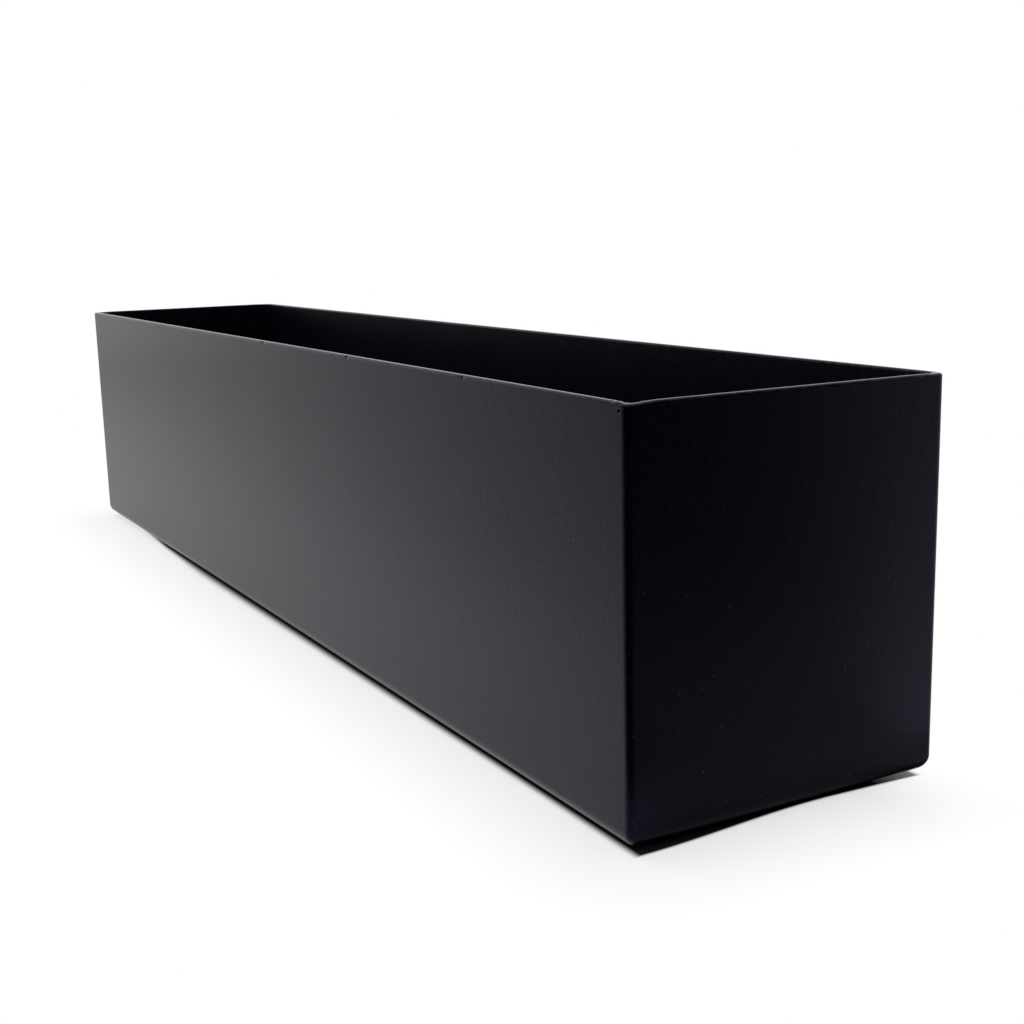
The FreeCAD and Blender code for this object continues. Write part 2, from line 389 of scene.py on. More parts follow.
def channel_rows():
    """Rows of an outer and an inner point across the channel, from the front rim to the rear one."""
    base = stations(-bend_side, bend_side, ROW_STEP, DRAIN_EDGES, [(0, DRAIN_BLOCK, DRAIN_STEP)])[1:-1]
    rows = [[(inset - half_width, level) for inset, level in pair] for pair in folded]
    rows += [[(y, base_bottom), (y, base_top)] for y in base]
    rows += [[(half_width - inset, level) for inset, level in pair] for pair in folded[::-1]]
    return rows


def channel_columns(drains):
    """Places along the channel, close together at its wear and round its drain holes."""
    long_nicks = [nick for nick in nicks if abs(nick[0].y) == half_width]
    clusters = [(place.x, radius, NICK_STEP) for place, way, radius, depth in long_nicks]
    clusters += lump_clusters(wall_end, ENDS.values())
    clusters += [(pore.x, PORE_ZONE, PORE_STEP)]
    clusters += [(place, half_long, DENT_STEP) for place, half_long in DENTS]
    clusters += [(drain.x, DRAIN_BLOCK, DRAIN_STEP) for drain in drains]
    marks = [sign * place for sign in (-1, 1) for place in (bend_end, notch_end)]
    marks += [drain.x + edge for drain in drains for edge in DRAIN_EDGES]
    return stations(-wall_end, wall_end, COLUMN_STEP, marks, clusters)


def make_channel(material):
    drains = [sum(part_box(f"drain_plug_{where}"), Vector()) / 2 for where in DRAINS]
    rows = channel_rows()
    columns = channel_columns(drains)
    grids = [[[Vector((x, *row[skin])) for x in columns] for row in rows] for skin in (0, 1)]
    sheet = SheetMesh(*grids)

    # The walls are longest, then the bends, then the base between the two flanges
    last = len(rows) - 2
    from_rims = [min(row, last - row) for row in range(last + 1)]
    reaches = [section_reach(row, wall_end, bend_end, notch_end) for row in from_rims]
    cells = cells_within(columns, reaches)

    across = [outer[0] for outer, inner in rows]
    hole_rows = [across.index(edge, flat_start) for edge in DRAIN_EDGES]
    hole_columns = [[columns.index(drain.x + edge) for edge in DRAIN_EDGES] for drain in drains]
    blocks = {
        (row, column)
        for block_columns in hole_columns
        for row in range(*hole_rows)
        for column in range(*block_columns)
    }
    sheet.fill(cells - blocks, blocks)
    for drain, block_columns in zip(drains, hole_columns):
        sheet.drill(hole_rows, block_columns, drain, DRAIN_RADIUS, DRAIN_RINGS)
    new_piece("channel_coated", sheet.mesh, material, "trough", "trough_channel")


# End caps: end wall, bottom bend and flange
FLANGE_STEPS = 3


def make_end_cap(end, material):
    toward = ENDS[end]
    flange = spread(bend, half_length - flange_end, FLANGE_STEPS)[1:]
    section = folded + [((inset, base_bottom), (inset, base_top)) for inset in flange]
    short_nicks = [nick for nick in nicks if nick[0].x == toward * half_length]
    clusters = [(place.y, radius, NICK_STEP) for place, way, radius, depth in short_nicks]
    clusters += lump_clusters(cap_edge, SIDES.values())
    marks = [sign * place for sign in (-1, 1) for place in (bend_side, flange_side)]
    columns = stations(-cap_edge, cap_edge, COLUMN_STEP, marks, clusters)
    grids = []
    for skin in (0, 1):
        rows = [pair[skin] for pair in section]
        places = [(toward * (half_length - inset), level) for inset, level in rows]
        grids.append([[Vector((x, y, level)) for y in columns] for x, level in places])
    sheet = SheetMesh(*grids)
    reaches = [section_reach(row, cap_edge, bend_side, flange_side) for row in range(len(section) - 1)]
    sheet.fill(cells_within(columns, reaches))
    new_piece(f"{end}_cap_coated", sheet.mesh, material, "trough", f"{end}_end_cap")


# Corner welds, in plan from the outer corner: u along the long wall, v along the end wall
LAP_POINTS = 2


def corner_arc(centre, radius):
    """Points of a quarter turn, from the long wall round to the end wall."""
    angles = spread(0, QUARTER, CORNER_STEPS)
    return [(centre - radius * math.sin(angle), centre - radius * math.cos(angle)) for angle in angles]


def foot_plan(inset, radius):
    """The outside of the foot, from the end of the long bend round the corner to the end of the other.

    The first and the last points, as many as LAP_POINTS, lie below the walls beside the weld.
    """
    corner = inset + radius
    start = bend - (bend - weld_reach) * (bend - corner) / (bend - CORNER_RADIUS)
    flats = [bend, (bend + start) / 2, start, (start + corner) / 2]
    outward = [(u, inset) for u in flats]
    back = [(inset, u) for u in reversed(flats)]
    return outward + corner_arc(corner, radius) + back


def column_plan(inset):
    """The outline of the weld between the walls, where the rounding of the rim cuts it back by inset."""
    flats = [weld_reach, (weld_reach + CORNER_RADIUS) / 2]
    plan = [(u, inset) for u in flats]
    plan += corner_arc(CORNER_RADIUS, CORNER_RADIUS - inset)
    plan += [(inset, u) for u in reversed(flats)]
    plan += [(SHEET - inset, weld_reach)]
    plan += corner_arc(bend, inner_bend + inset)[::-1]
    plan += [(weld_reach, SHEET - inset)]
    return plan


def make_corner_weld(side, end, material):
    mesh = bmesh.new()

    def vertices(plan, level):
        made = []
        for u, v in plan:
            point = Vector((ENDS[end] * (half_length - u), SIDES[side] * (half_width - v), level))
            made.append(mesh.verts.new(worn(point)))
        return made

    # Foot: outer and inner rows from the top of the bend down to the corner of the base
    foot_outer, foot_inner = [], []
    for angle in spread(0, QUARTER, BEND_STEPS)[:-1]:
        outer_plan = foot_plan(bend - bend * math.cos(angle), CORNER_RADIUS * math.cos(angle))
        inner_plan = corner_arc(bend, inner_bend * math.cos(angle))
        foot_outer.append(vertices(outer_plan, bend_top - bend * math.sin(angle)))
        foot_inner.append(vertices(inner_plan, bend_top - inner_bend * math.sin(angle)))
    tips = [vertices([(bend, bend)], level)[0] for level in (base_bottom, base_top)]
    for rows, tip in zip((foot_outer, foot_inner), tips):
        for upper, lower in zip(rows, rows[1:]):
            join_rows(mesh, upper, lower)
        for first, last in zip(rows[-1], rows[-1][1:]):
            mesh.faces.new([first, last, tip])
    for edge in (0, -1):
        outer_edge = [row[edge] for row in foot_outer] + [tips[0]]
        inner_edge = [row[edge] for row in foot_inner] + [tips[1]]
        join_rows(mesh, outer_edge, inner_edge)

    # Column: one loop per level, from the foot up to the rounded rim
    heels = vertices([(SHEET, weld_reach), (weld_reach, SHEET)], bend_top)
    outer, inner = foot_outer[0], foot_inner[0]
    loop = outer[LAP_POINTS:-LAP_POINTS] + [heels[0]] + inner[::-1] + [heels[1]]
    mesh.faces.new(outer[:LAP_POINTS + 1] + [heels[1], inner[0]])
    mesh.faces.new(outer[-LAP_POINTS - 1:] + [inner[-1], heels[0]])
    levels = [(level, 0) for level in wall_levels()[::-1][1:]]
    levels += [(level, inset) for (inset, level), _ in rim_rows()[::-1][1:]]
    for level, inset in levels:
        upper = vertices(column_plan(inset), level)
        join_rings(mesh, loop, upper)
        loop = upper
    mesh.faces.new(loop)
    name = f"corner_{side}_{end}_ground"
    new_piece(name, mesh, material, "trough", f"corner_weld_{side}_{end}")


# Base welds: a rippled bead round the three free edges of each flange
BEAD_STEP = 0.35 * MM
BEAD_STEPS_ACROSS = 8
BEAD_RIPPLE = 1.5 * MM
BEAD_SWEEP = 2.4
BEAD_LOW_SHARE = 0.3
BEAD_DIP_SHARE = 0.22


def bead_line(inset):
    """Places in plan along the bead's three legs, at an inset from its outer edge."""
    x = notch_end + inset
    y = bend_side - inset
    corners = [Vector((bend_end, y)), Vector((x, y)), Vector((x, -y)), Vector((bend_end, -y))]
    line = [corners[0]]
    for first, last in zip(corners, corners[1:]):
        length = bend_end - notch_end if first.y == last.y else 2 * bend_side
        line += [first.lerp(last, share) for share in spread(0, 1, round(length / BEAD_STEP))[1:]]
    return line


def bead_height(across, along):
    """Height of the bead above the base: round across, from -1 to 1, and rippled along."""
    round_top = math.sqrt(max(1 - across * across, 0))
    phase = 2 * math.pi * along / BEAD_RIPPLE + BEAD_SWEEP * across * across
    ripple = 1 - BEAD_DIP_SHARE * (1 + math.sin(phase)) / 2
    return (seam_top - base_top) * (BEAD_LOW_SHARE + (1 - BEAD_LOW_SHARE) * round_top) * ripple


def make_base_weld(end, material):
    mesh = bmesh.new()
    toward = ENDS[end]
    lines = [bead_line(inset) for inset in spread(0, seam_width, BEAD_STEPS_ACROSS)]
    top = []
    for line, across in zip(lines, spread(-1, 1, BEAD_STEPS_ACROSS)):
        row = []
        for n, place in enumerate(line):
            level = base_top + bead_height(across, n * BEAD_STEP)
            row.append(mesh.verts.new((toward * place.x, place.y, level)))
        top.append(row)
    bottom = [[mesh.verts.new((toward * p.x, p.y, base_bottom)) for p in lines[edge]] for edge in (0, -1)]
    rows = [bottom[0]] + top + [bottom[1]]
    for n in range(len(rows)):
        join_rows(mesh, rows[n - 1], rows[n])
    for edge in (0, -1):
        mesh.faces.new([row[edge] for row in rows])
    new_piece(f"base_seam_{end}", mesh, material, "trough", f"base_weld_{end}")


# Turned rubber pieces
TURN_STEPS = 72


def turned(outline, centre):
    """Turn an outline of radii and levels, which starts and ends on the axis."""
    mesh = bmesh.new()
    ends = [mesh.verts.new((centre.x, centre.y, level)) for radius, level in (outline[0], outline[-1])]
    angles = [2 * math.pi * n / TURN_STEPS for n in range(TURN_STEPS)]
    rings = []
    for radius, level in outline[1:-1]:
        ring = []
        for angle in angles:
            x = centre.x + radius * math.cos(angle)
            y = centre.y + radius * math.sin(angle)
            ring.append(mesh.verts.new((x, y, level)))
        rings.append(ring)
    for lower, upper in zip(rings, rings[1:]):
        join_rings(mesh, lower, upper)
    for n in range(TURN_STEPS):
        mesh.faces.new([ends[0], rings[0][n], rings[0][n - 1]])
        mesh.faces.new([ends[1], rings[-1][n - 1], rings[-1][n]])
    return mesh


def rounded(radius, level, edge, first, last):
    """Points of an edge rounding whose centre is edge inside radius and at level."""
    points = []
    for angle in spread(first, last, EDGE_STEPS):
        points.append((radius - edge + edge * math.cos(angle), level + edge * math.sin(angle)))
    return points


# Foot pads, each dished below within two shares of its radius
PAD_EDGE = 0.6 * MM
PAD_DISH = 0.25 * MM
PAD_DISH_SHARES = (0.5, 0.7)


def make_foot_pad(side, end, material):
    node = f"foot_pad_{side}_{end}"
    low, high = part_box(node)
    centre = (low + high) / 2
    radius = (high.x - low.x) / 2
    flat, slope = [radius * share for share in PAD_DISH_SHARES]
    outline = [(0, low.z + PAD_DISH), (flat, low.z + PAD_DISH), (slope, low.z)]
    outline += rounded(radius, low.z + PAD_EDGE, PAD_EDGE, -QUARTER, 0)
    outline += [(radius, high.z), (0, high.z)]
    new_piece(f"{node}_moulded", turned(outline, centre), material, "trough", node)


# Drain plugs, each with a lip, a moulded ring and a nub on its dished head
PLUG_HEAD_EDGE = 0.9 * MM
PLUG_TAIL_EDGE = 0.6 * MM
PLUG_CLEARANCE = 0.05 * MM
PLUG_DISH = 0.5 * MM
PLUG_LIP = 2.2 * MM
PLUG_RING = (6.2 * MM, 4.6 * MM)
PLUG_RING_RISE = 0.4 * MM
PLUG_NUB = 1.2 * MM
PLUG_NUB_RISE = 0.25 * MM
PLUG_SLOPE = 0.2 * MM


def make_drain_plug(where, material):
    node = f"drain_plug_{where}"
    low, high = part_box(node)
    centre = (low + high) / 2
    head = (high.x - low.x) / 2
    stem = DRAIN_RADIUS - PLUG_CLEARANCE
    dish = high.z - PLUG_DISH
    outline = [(0, low.z)]
    outline += rounded(stem, low.z + PLUG_TAIL_EDGE, PLUG_TAIL_EDGE, -QUARTER, 0)
    outline += [(stem, base_top), (head, base_top)]
    outline += rounded(head, high.z - PLUG_HEAD_EDGE, PLUG_HEAD_EDGE, 0, QUARTER)
    outline += [(head - PLUG_LIP, high.z), (head - PLUG_LIP - PLUG_SLOPE, dish)]
    outer, inner = PLUG_RING
    ring_top = dish + PLUG_RING_RISE
    outline += [(outer, dish), (outer - PLUG_SLOPE, ring_top)]
    outline += [(inner + PLUG_SLOPE, ring_top), (inner, dish)]
    nub_top = dish + PLUG_NUB_RISE
    outline += [(PLUG_NUB, dish), (PLUG_NUB - PLUG_SLOPE, nub_top), (0, nub_top)]
    new_piece(f"{node}_moulded", turned(outline, centre), material, node, node)


# Shader nodes
class Graph:
    """The shader nodes of a material or a world, with short ways to add to them."""

    def __init__(self, owner):
        owner.use_nodes = True
        self.nodes = owner.node_tree.nodes
        self.links = owner.node_tree.links

    def set(self, node, inputs):
        """Set inputs of a node to a plain value or a colour, or link them to another node's output."""
        for name, value in inputs.items():
            socket = node.inputs[name]
            if isinstance(value, bpy.types.NodeSocket):
                self.links.new(value, socket)
            else:
                socket.default_value = (*value, 1) if isinstance(value, tuple) else value

    def add(self, kind, inputs, **settings):
        """The outputs of a new node with these inputs and settings."""
        made = self.nodes.new(kind)
        for name, value in settings.items():
            setattr(made, name, value)
        self.set(made, inputs)
        return made.outputs

    def place(self):
        """The object's own coordinates, so that a pattern has a real size."""
        return self.add("ShaderNodeTexCoord", {})["Object"]

    def noise(self, scale, detail):
        inputs = {"Vector": self.place(), "Scale": scale, "Detail": detail}
        return self.add("ShaderNodeTexNoise", inputs)["Fac"]

    def spots(self, cells, size, rarity):
        """Spots of a real size, as many to the metre as cells says and as faint as each draws."""
        found = self.add("ShaderNodeTexVoronoi", {"Vector": self.place(), "Scale": cells})
        spot = self.ramp(found["Distance"], size[0] * cells, size[1] * cells, 1, 0)
        draws = self.add("ShaderNodeSeparateColor", {"Color": found["Color"]})
        return self.product(spot, self.ramp(draws["Red"], rarity, 1, 0, 1))

    def ramp(self, value, low, high, first, last, curve="LINEAR"):
        """Map a value from low..high to first..last."""
        inputs = {"Value": value, "From Min": low, "From Max": high, "To Min": first, "To Max": last}
        return self.add("ShaderNodeMapRange", inputs, interpolation_type=curve)["Result"]

    def mix(self, share, first, last, kind="FLOAT"):
        inputs = {"Factor": share, "A": first, "B": last}
        return self.add("ShaderNodeMix", inputs, data_type=kind)["Result"]

    def mix_colour(self, share, first, last):
        return self.mix(share, first, last, "RGBA")

    def calculate(self, operation, *values):
        return self.add("ShaderNodeMath", dict(enumerate(values)), operation=operation)["Value"]

    def product(self, first, last):
        return self.calculate("MULTIPLY", first, last)

    def vector_math(self, operation, *values):
        made = self.add("ShaderNodeVectorMath", dict(enumerate(values)), operation=operation)
        return made["Value" if operation == "LENGTH" else "Vector"]

    def split(self, vector):
        return self.add("ShaderNodeSeparateXYZ", {"Vector": vector})

    def bump(self, height, distance, strength, below=None):
        """A normal that follows a height, on top of another bump where below gives one."""
        inputs = {"Height": height, "Distance": distance, "Strength": strength}
        if below:
            inputs["Normal"] = below
        return self.add("ShaderNodeBump", inputs)["Normal"]

    def shown_ray(self):
        """1 for the rays that show the background: to the camera, in a reflection or through glass."""
        path = self.add("ShaderNodeLightPath", {})
        shown = self.calculate("MAXIMUM", path["Is Camera Ray"], path["Is Glossy Ray"])
        return self.calculate("MAXIMUM", shown, path["Is Transmission Ray"])

    def show_mixed(self, output, share, first, last):
        """Show two shaders mixed, the last by its share."""
        mixed = self.add("ShaderNodeMixShader", {"Fac": share, 1: first, 2: last})
        self.set(self.nodes[output], {"Surface": mixed["Shader"]})


def new_material(name):
    material = bpy.data.materials.new(name)
    graph = Graph(material)
    return material, graph, graph.nodes["Principled BSDF"]


# Powder coat. Each noise has its scale to the metre and its detail, each bump its distance and strength
NOISE_RANGE = (0.3, 0.7)
COAT_CLOUD = (14, 4)
COAT_GRAIN = (700, 3)
COAT_SPARKS = (1300, 2)
COAT_SPARK_RANGE = (0.56, 0.76)
COAT_PEEL = (300, 2)
COAT_SCUFFS = (260, 5)
COAT_SCUFF_RANGE = (0.5, 0.7)
COAT_PEEL_BUMP = (0.05 * MM, 0.75)
COAT_GRAIN_BUMP = (0.03 * MM, 0.35)
COAT_DARK = (0.0008, 0.0008, 0.0028)
COAT_LIGHT = (0.0026, 0.0026, 0.0058)
COAT_SPARK = (0.0190, 0.0190, 0.0260)
COAT_WORN = (0.030, 0.030, 0.033)
COAT_DUST = (0.22, 0.22, 0.23)
COAT_ROUGHNESS = (0.28, 0.30)
COAT_SPECULAR = 0.19
COAT_TINT = (0.51, 0.51, 1)
RIM_ROUGHNESS = 0.15
RIM_POLISH = (1.4 * MM, 0.5 * MM)
DUST_CELLS = 150
DUST_SIZE = (0.20 * MM, 0.48 * MM)
DUST_RARITY = 0.4
DUST_ON_WALLS = 0.3
PIT_CELLS = 130
PIT_SIZE = (0.20 * MM, 0.34 * MM)
PIT_RARITY = 0.4
PIT_ROUGHNESS = 0.75


def powder_coat():
    """Satin black coat with clouds, orange peel and grain, dust specks and a rim polished by handling."""
    material, graph, shader = new_material("black_powder_coat")
    along, _, level = graph.split(graph.place())
    at_rim = graph.ramp(level, rim - RIM_POLISH[0], rim - RIM_POLISH[1], 0, 1)
    at_end = graph.ramp(graph.calculate("ABSOLUTE", along), bend_end, half_length, DUST_ON_WALLS, 1)
    dust = graph.product(graph.spots(DUST_CELLS, DUST_SIZE, DUST_RARITY), at_end)
    pits = graph.spots(PIT_CELLS, PIT_SIZE, PIT_RARITY)
    clouds = graph.ramp(graph.noise(*COAT_CLOUD), *NOISE_RANGE, 0, 1)
    sparks = graph.ramp(graph.noise(*COAT_SPARKS), *COAT_SPARK_RANGE, 0, 1)
    scuffs = graph.ramp(graph.noise(*COAT_SCUFFS), *COAT_SCUFF_RANGE, 0, 1)
    grain = graph.noise(*COAT_GRAIN)

    colour = graph.mix_colour(clouds, COAT_DARK, COAT_LIGHT)
    colour = graph.mix_colour(sparks, colour, COAT_SPARK)
    colour = graph.mix_colour(graph.product(at_rim, scuffs), colour, COAT_WORN)
    colour = graph.mix_colour(dust, colour, COAT_DUST)
    roughness = graph.ramp(grain, *NOISE_RANGE, *COAT_ROUGHNESS)
    roughness = graph.mix(at_rim, roughness, RIM_ROUGHNESS)
    roughness = graph.mix(pits, roughness, PIT_ROUGHNESS)
    peel = graph.bump(graph.noise(*COAT_PEEL), *COAT_PEEL_BUMP)
    graph.set(shader, {
        "Base Color": colour,
        "Roughness": roughness,
        "Specular IOR Level": COAT_SPECULAR,
        "Specular Tint": COAT_TINT,
        "Normal": graph.bump(grain, *COAT_GRAIN_BUMP, peel),
    })
    return material


# Rubbers, each between two greys and two roughnesses
RUBBER_CLOUD = (120, 4)
RUBBER_GRAIN = (2600, 2)
RUBBER_BUMP = (0.03 * MM, 0.5)
RUBBER_SPECULAR = 0.35
PAD_GREYS = ((0.012, 0.012, 0.012), (0.020, 0.020, 0.020))
PAD_ROUGHNESS = (0.70, 0.85)
PLUG_GREYS = ((0.008, 0.008, 0.009), (0.016, 0.016, 0.017))
PLUG_ROUGHNESS = (0.42, 0.58)


def rubber(name, greys, roughness):
    material, graph, shader = new_material(name)
    grain = graph.noise(*RUBBER_GRAIN)
    graph.set(shader, {
        "Base Color": graph.mix_colour(graph.noise(*RUBBER_CLOUD), *greys),
        "Roughness": graph.ramp(grain, *NOISE_RANGE, *roughness),
        "Specular IOR Level": RUBBER_SPECULAR,
        "Normal": graph.bump(grain, *RUBBER_BUMP),
    })
    return material


# Camera at the photograph's viewing angle
CAMERA_PLACE = (0.67393, -0.29063, 0.19295)
CAMERA_AZIMUTH = math.radians(61.2333)
CAMERA_ELEVATION = math.radians(11.3339)
CAMERA_ROLL = math.radians(-1.4273)
CAMERA_LENS = 50.105
CAMERA_SENSOR = 36
CAMERA_CLIP = 10 * MM


def make_camera():
    data = bpy.data.cameras.new("camera")
    data.lens = CAMERA_LENS
    data.sensor_width = CAMERA_SENSOR
    data.clip_start = CAMERA_CLIP
    camera = new_object("camera", data)
    level = math.cos(CAMERA_ELEVATION)
    back = Vector((
        math.sin(CAMERA_AZIMUTH) * level,
        -math.cos(CAMERA_AZIMUTH) * level,
        math.sin(CAMERA_ELEVATION),
    ))
    turn = (-back).to_track_quat("-Z", "Y").to_matrix().to_4x4()
    camera.matrix_world = Matrix.Translation(CAMERA_PLACE) @ turn @ Matrix.Rotation(CAMERA_ROLL, 4, "Z")
    bpy.context.scene.camera = camera


# Floor. The shade under and beside the trough is painted into the floor's colour, measured from a line
# inside its foot
FLOOR_SIZE = 8.0
FLOOR_PALE = (0.9, 0.9, 0.9)
# Painted shade: the floor's colour under and beside the trough
FLOOR_PAINTED_SHADE = (0.03, 0.03, 0.03)
FLOOR_ROUGHNESS = 0.9
FLOOR_SPECULAR = 0.1
SHADE_INSET = 12 * MM
END_SHADE_AT_CORNER = 11.0 * MM
END_SHADE_AT_MIDDLE = 6.2 * MM
END_SHADE_TAPER = (-58 * MM, 14 * MM)
END_SHADE_EDGE = 1.4 * MM
REAR_SHADE_SPREAD = (20 * MM, 60 * MM)
REAR_SHADE_GAIN = 1.8 * MM
FRONT_SHADE_START = 6.8 * MM
FRONT_SHADE_END = (15.4 * MM, 11.0 * MM)
FRONT_SHADE_SPREAD = (-0.08, 0.26)
FRONT_SHADE_WIDTH = 3.5 * MM
FAR_SHADE_END = 5.5 * MM
FAR_SHADE_SPREAD = (-0.28, -0.12)
LEAK_SPREAD = (42 * MM, 66 * MM)
LEAK_SHARE = 0.20
LEAK_FROM_END = (40 * MM, 15 * MM)
SHADOW_START = 11 * MM
SHADOW_END = 54 * MM
SHADOW_SHARE = 0.30
SHADOW_FADE = (35 * MM, 70 * MM)


def light_past_end(graph, along, across, past_end):
    """0 in the painted shade at an end and 1 beyond it. The shade is widest at the right end's front
    corner.
    """
    shades = (END_SHADE_AT_CORNER, END_SHADE_AT_MIDDLE)
    right_shade = graph.ramp(across, *END_SHADE_TAPER, *shades, "SMOOTHSTEP")
    at_right = graph.calculate("GREATER_THAN", along, 0)
    shade = graph.mix(at_right, END_SHADE_AT_MIDDLE, right_shade)
    rear_gain = graph.ramp(across, *REAR_SHADE_SPREAD, 0, REAR_SHADE_GAIN)
    shade = graph.calculate("ADD", shade, rear_gain)
    return graph.ramp(graph.calculate("SUBTRACT", past_end, shade), 0, END_SHADE_EDGE, 0, 1)


def light_past_side(graph, along, past_side):
    """0 in the painted shade at a long wall and 1 beyond it. The shade is narrowest at the left end."""
    shade = graph.ramp(along, *FRONT_SHADE_SPREAD, *FRONT_SHADE_END)
    far_shade = graph.ramp(along, *FAR_SHADE_SPREAD, FAR_SHADE_END, FRONT_SHADE_END[0])
    shade = graph.calculate("MINIMUM", shade, far_shade)
    start = graph.calculate("SUBTRACT", shade, FRONT_SHADE_WIDTH)
    start = graph.calculate("MINIMUM", start, FRONT_SHADE_START)
    return graph.ramp(past_side, start, shade, 0, 1, "SMOOTHSTEP")


def light_under_corner(graph, along, across):
    """Painted light on the floor under the right end's rear corner, as if light leaked in there."""
    near_end = graph.ramp(along, *[half_length - inset for inset in LEAK_FROM_END], 0, 1)
    return graph.product(near_end, graph.ramp(across, *LEAK_SPREAD, 0, LEAK_SHARE))


def soft_shadow(graph, across, away):
    """The painted faint shadow round the foot, which fades away from it and towards the rear."""
    share = graph.ramp(across, *SHADOW_FADE, SHADOW_SHARE, 0)
    return graph.product(share, graph.ramp(away, SHADOW_START, SHADOW_END, 1, 0))


def pale_floor():
    """A pale floor with the shadow beside and under the trough painted into its colour, which turns white
    away from it.
    """
    material, graph, shader = new_material("pale_floor")
    place = graph.place()
    inner = Vector((half_length - SHADE_INSET, half_width - SHADE_INSET, 0))
    beyond = graph.vector_math("SUBTRACT", graph.vector_math("ABSOLUTE", place), inner)
    beyond = graph.vector_math("MAXIMUM", beyond, Vector())
    along, across, _ = graph.split(place)
    past_end, past_side, _ = graph.split(beyond)
    # A painted mask of light and shade: 0 in the shade beside and under the trough, 1 on the open floor.
    # It darkens the floor's colour and its white glow
    light = light_past_end(graph, along, across, past_end)
    light = graph.calculate("MAXIMUM", light, light_past_side(graph, along, past_side))
    light = graph.calculate("MAXIMUM", light, light_under_corner(graph, along, across))
    graph.set(shader, {
        "Base Color": graph.mix_colour(light, FLOOR_PAINTED_SHADE, FLOOR_PALE),
        "Roughness": FLOOR_ROUGHNESS,
        "Specular IOR Level": FLOOR_SPECULAR,
    })
    shadow = soft_shadow(graph, across, graph.vector_math("LENGTH", beyond))
    share = graph.product(light, graph.calculate("SUBTRACT", 1, shadow))
    share = graph.product(share, graph.shown_ray())
    white = graph.add("ShaderNodeEmission", {"Strength": 1})
    graph.show_mixed("Material Output", share, shader.outputs["BSDF"], white["Emission"])
    return material


def make_stage_mesh(name, points, faces, material):
    data = bpy.data.meshes.new(name)
    data.from_pydata(points, [], faces)
    data.materials.append(material)
    made = new_object(name, data)
    return made


def make_floor():
    half = FLOOR_SIZE / 2
    corners = [(-half, -half, 0), (half, -half, 0), (half, half, 0), (-half, half, 0)]
    make_stage_mesh("floor", corners, [(0, 1, 2, 3)], pale_floor())


# The unlit sides of the studio as painted shade: cloths on the floor whose greys stand in for that shade,
# two of them hung up at the outer edge
CLOTH_LEVEL = 1 * MM
CLOTH_BLACK = 0.01
END_STEPS = 24
END_CLOTH_FRONT_TURN = math.radians(-95)
END_CLOTH_REAR_TURNS = [math.radians(turn) for turn in (43, 43, 43, 44, 46)]
END_CLOTH_FADE = (math.radians(-35), math.radians(15))
END_CLOTH_REACHES = (0.05, 0.10, 0.17, 0.30, 0.90)
END_CLOTH_SHADES = (0.60, 0.56, 0.40, 0.10, CLOTH_BLACK)
END_CLOTH_HEIGHT = 0.7
END_STRIP_TURN = (math.radians(-80), math.radians(75))
END_STRIP_REACHES = (-0.012, -0.005, 0, 0.015, 0.05)
END_STRIP_SHADES = (0.02, 0.02, 0.70, 1, 1)
END_STRIP_REAR_SHADES = (0.02, 0.02, 0.12, 0.95, 1)
END_STRIP_REAR = (math.radians(10), math.radians(60))
END_STRIP_TAIL = 25 * MM
FRONT_CLOTH_PLACES = (-1.8, -0.9, 0.31)
FRONT_CLOTH_FADE = (0.88, 1, 1)
FRONT_CLOTH_REACHES = (0.14, 0.30, 0.46, 1.30)
FRONT_CLOTH_SHADES = (0.97, 0.82, 0.63, 0.60)
FRONT_CLOTH_HEIGHT = 0.6


def make_cloth(name, rows, height):
    """A cloth through rows of points and their painted shades, hung up from its last row unless height is
    none.

    The camera looks past it. A cloth that isn't hung up shows in reflections alone.
    """
    material, graph, shader = new_material(name)
    shade = graph.add("ShaderNodeVertexColor", {}, layer_name="shade")["Color"]
    graph.set(shader, {"Base Color": shade, "Roughness": 1, "Specular IOR Level": 0})
    if height:
        rows = rows + [[(x, y, height, grey) for x, y, level, grey in rows[-1]]]
    count = len(rows[0])
    faces = []
    for row in range(len(rows) - 1):
        for n in range(row * count, (row + 1) * count - 1):
            faces.append((n, n + 1, n + 1 + count, n + count))
    points = sum(rows, [])
    cloth = make_stage_mesh(name, [point[:3] for point in points], faces, material)
    colours = cloth.data.color_attributes.new("shade", "FLOAT_COLOR", "POINT")
    for colour, (x, y, level, grey) in zip(colours.data, points):
        colour.color = (grey, grey, grey, 1)
    cloth.visible_camera = False
    cloth.visible_diffuse = bool(height)
    cloth.visible_shadow = bool(height)


def place_round_end(reach, angle):
    """A place on the floor round the right end, at a distance from the trough."""
    return half_length + reach * math.cos(angle), (half_width + reach) * math.sin(angle), CLOTH_LEVEL


def make_end_cloth():
    """Cloth round the right end whose greys are painted shade, black from the near corner round to the
    middle of the end.
    """
    rows = []
    for reach, shade, rear_turn in zip(END_CLOTH_REACHES, END_CLOTH_SHADES, END_CLOTH_REAR_TURNS):
        row = []
        for angle in spread(END_CLOTH_FRONT_TURN, rear_turn, END_STEPS):
            grey = max(shade * smooth(angle, *END_CLOTH_FADE), CLOTH_BLACK)
            row.append((*place_round_end(reach, angle), grey))
        rows.append(row)
    make_cloth("end_cloth", rows, END_CLOTH_HEIGHT)


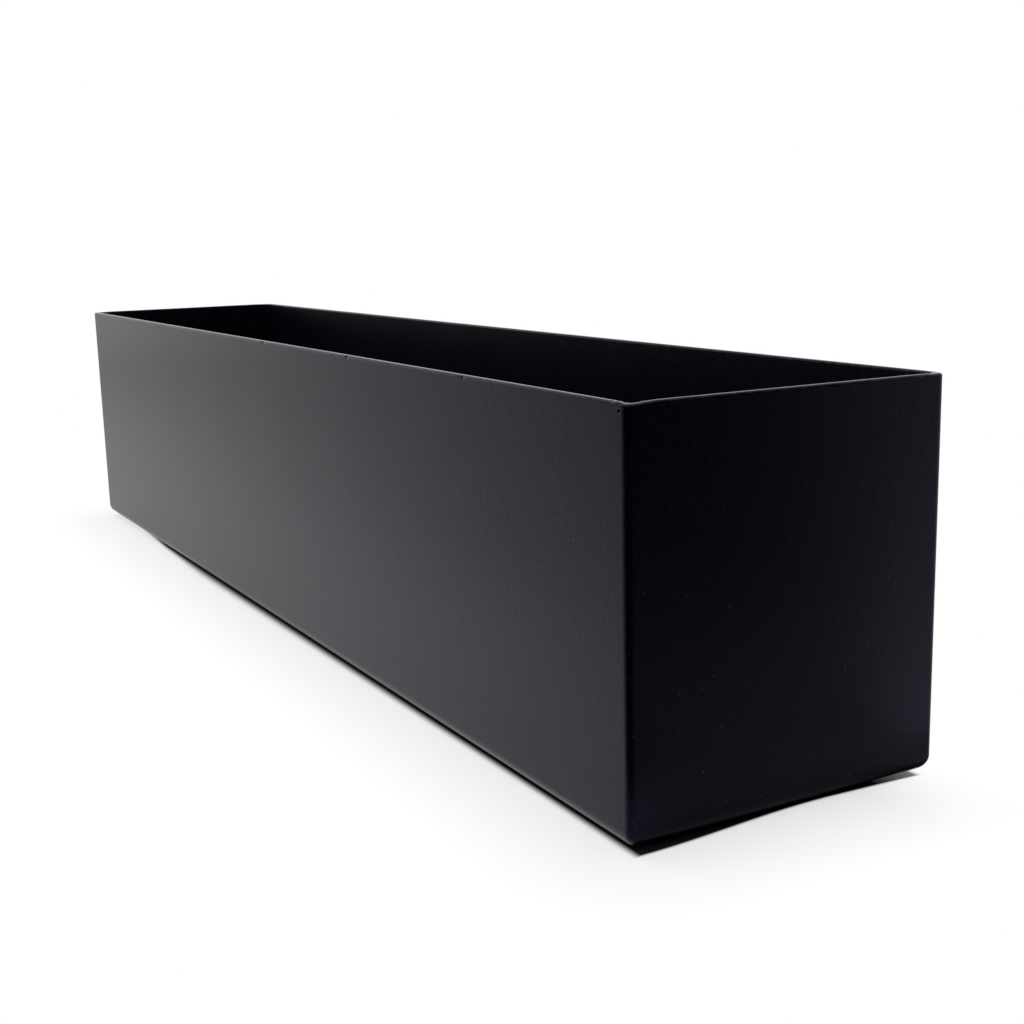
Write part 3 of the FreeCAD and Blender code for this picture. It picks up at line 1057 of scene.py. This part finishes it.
def make_end_strip():
    """Painted shade at the foot of the right end, as the coat reflects it, on a sheet seen in reflections
    alone.
    """
    rows = []
    for reach, shade, rear_shade in zip(END_STRIP_REACHES, END_STRIP_SHADES, END_STRIP_REAR_SHADES):
        row = []
        for angle in spread(*END_STRIP_TURN, END_STEPS):
            rear = smooth(angle, *END_STRIP_REAR)
            row.append((*place_round_end(reach, angle), shade + (rear_shade - shade) * rear))
        x, y, level, grey = row[-1]
        rows.append(row + [(x, y + END_STRIP_TAIL, level, grey)])
    make_cloth("end_strip", rows, None)


def make_front_cloth():
    """Cloth along the front whose greys are painted shade, a little darker towards the far end."""
    rows = []
    for reach, shade in zip(FRONT_CLOTH_REACHES, FRONT_CLOTH_SHADES):
        y = -half_width - reach
        places = zip(FRONT_CLOTH_PLACES, FRONT_CLOTH_FADE)
        rows.append([(x, y, CLOTH_LEVEL, shade * fade) for x, fade in places])
    make_cloth("front_cloth", rows, FRONT_CLOTH_HEIGHT)


# Light
WHITE = (1, 1, 1)
WORLD_STRENGTH = 0.75
LAMP_PLACE = Vector((-0.6, -0.8, 2.2))
LAMP_SIZE = 1.2
LAMP_POWER = 14


def make_world():
    """White light from all round, in front of a background that shows as pure white."""
    world = bpy.data.worlds.new("studio")
    bpy.context.scene.world = world
    graph = Graph(world)
    light = graph.nodes["Background"]
    graph.set(light, {"Color": WHITE, "Strength": WORLD_STRENGTH})
    white = graph.add("ShaderNodeBackground", {"Color": WHITE, "Strength": 1})
    shown = graph.shown_ray()
    graph.show_mixed("World Output", shown, light.outputs["Background"], white["Background"])


def make_lamp():
    """A soft lamp overhead that points at the foot of the trough."""
    data = bpy.data.lights.new("overhead_softbox", "AREA")
    data.shape = "DISK"
    data.size = LAMP_SIZE
    data.energy = LAMP_POWER
    lamp = new_object("overhead_softbox", data)
    lamp.location = LAMP_PLACE
    lamp.rotation_euler = (-LAMP_PLACE).to_track_quat("-Z", "Y").to_euler()


# The trough
coat = powder_coat()
pad_rubber = rubber("pad_rubber", PAD_GREYS, PAD_ROUGHNESS)
plug_rubber = rubber("plug_rubber", PLUG_GREYS, PLUG_ROUGHNESS)
make_channel(coat)
for end in ENDS:
    make_end_cap(end, coat)
    make_base_weld(end, coat)
    for side in SIDES:
        make_corner_weld(side, end, coat)
        make_foot_pad(side, end, pad_rubber)
for where in DRAINS:
    make_drain_plug(where, plug_rubber)

# The studio
make_camera()
make_floor()
make_end_cloth()
make_end_strip()
make_front_cloth()
make_world()
make_lamp()
bpy.context.scene.view_settings.view_transform = "Standard"
